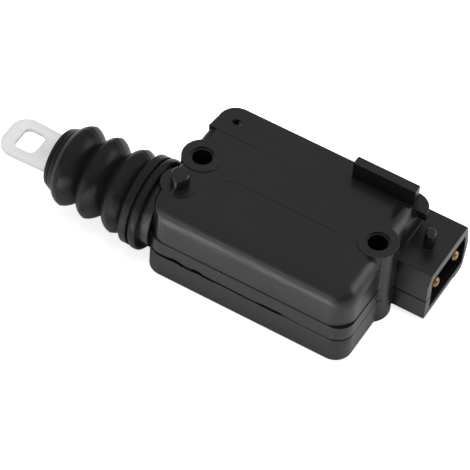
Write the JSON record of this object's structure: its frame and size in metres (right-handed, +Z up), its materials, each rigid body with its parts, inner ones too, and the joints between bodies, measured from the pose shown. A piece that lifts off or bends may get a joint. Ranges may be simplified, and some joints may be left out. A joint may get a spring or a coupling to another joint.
{
  "type": "door latch actuator",
  "caption": "Electric door latch actuator: a moulded case holds a motor, a gear train and a lead screw that draw in a flat tongue through a bellows boot.",
  "frame": {"origin": "midway between the two screw holes, on the flat base face", "axes": "+X towards the plug socket, away from the tongue; +Y towards the flange edge; +Z up from the base face"},
  "size_m": [0.1495, 0.0616, 0.039],
  "materials": {
    "case_black": "moulded black glass-filled plastic, fine matt grain",
    "boot_rubber": "black rubber with a slight sheen",
    "rod_white": "translucent natural white plastic",
    "guide_plastic": "natural acetal",
    "buffer_rubber": "soft black rubber",
    "gear_plastic": "natural acetal",
    "spindle_plastic": "glass-filled nylon",
    "brass": "stamped brass",
    "bronze": "sintered bronze",
    "steel": "ground steel",
    "can_steel": "drawn zinc-plated steel",
    "core_steel": "laminated electrical steel",
    "copper": "enamelled copper wire",
    "ferrite": "sintered ferrite",
    "carbon": "carbon",
    "cap_plastic": "moulded plastic",
    "disc_ceramic": "coated ceramic"
  },
  "bodies": {
    "housing": {"lower_housing": "case_black", "upper_housing": "case_black", "boot": "boot_rubber", "rod_guide": "guide_plastic", "stop_buffer_out": "buffer_rubber", "stop_buffer_in": "buffer_rubber", "spindle_bush_front": "bronze", "spindle_bush_rear": "bronze", "thrust_washer": "steel", "reduction_axle": "steel", "motor_can": "can_steel", "motor_end_cap": "cap_plastic", "motor_magnets": "ferrite", "motor_brushes": "carbon", "motor_bush_front": "bronze", "motor_bush_rear": "bronze", "busbar_near": "brass", "busbar_far": "brass", "overload_disc": "disc_ceramic", "terminal_pin_near": "brass", "terminal_pin_far": "brass"},
    "rotor": {"motor_shaft": "steel", "rotor_core": "core_steel", "rotor_windings": "copper", "commutator": "copper", "motor_pinion": "brass"},
    "reduction": {"reduction_gear": "gear_plastic"},
    "spindle": {"drive_spindle": "spindle_plastic", "spindle_gear": "gear_plastic"},
    "rod": {"output_rod": "rod_white"}
  },
  "joints": [
    {"name": "motor_spin", "type": "hinge", "parent": "housing", "child": "rotor", "pos_m": [0, 0.0129, 0.0165], "axis": [-1, 0, 0], "range_deg": [0, 2475]},
    {"name": "reduction_spin", "type": "hinge", "parent": "housing", "child": "reduction", "pos_m": [0, -0.0007, 0.0165], "axis": [-1, 0, 0], "range_deg": [-1351, 0]},
    {"name": "spindle_spin", "type": "hinge", "parent": "housing", "child": "spindle", "pos_m": [0, -0.0135, 0.0165], "axis": [-1, 0, 0], "range_deg": [0, 811]},
    {"name": "rod_slide", "type": "slide", "parent": "housing", "child": "rod", "axis": [1, 0, 0], "range_m": [0, 0.01801], "deforming": ["boot"]}
  ],
  "couplings": [
    {"joint": "reduction_spin", "follows": "motor_spin", "ratio": -0.54545},
    {"joint": "spindle_spin", "follows": "motor_spin", "ratio": 0.32727},
    {"joint": "rod_slide", "follows": "motor_spin", "m_per_rad": 0.0004167}
  ]
}
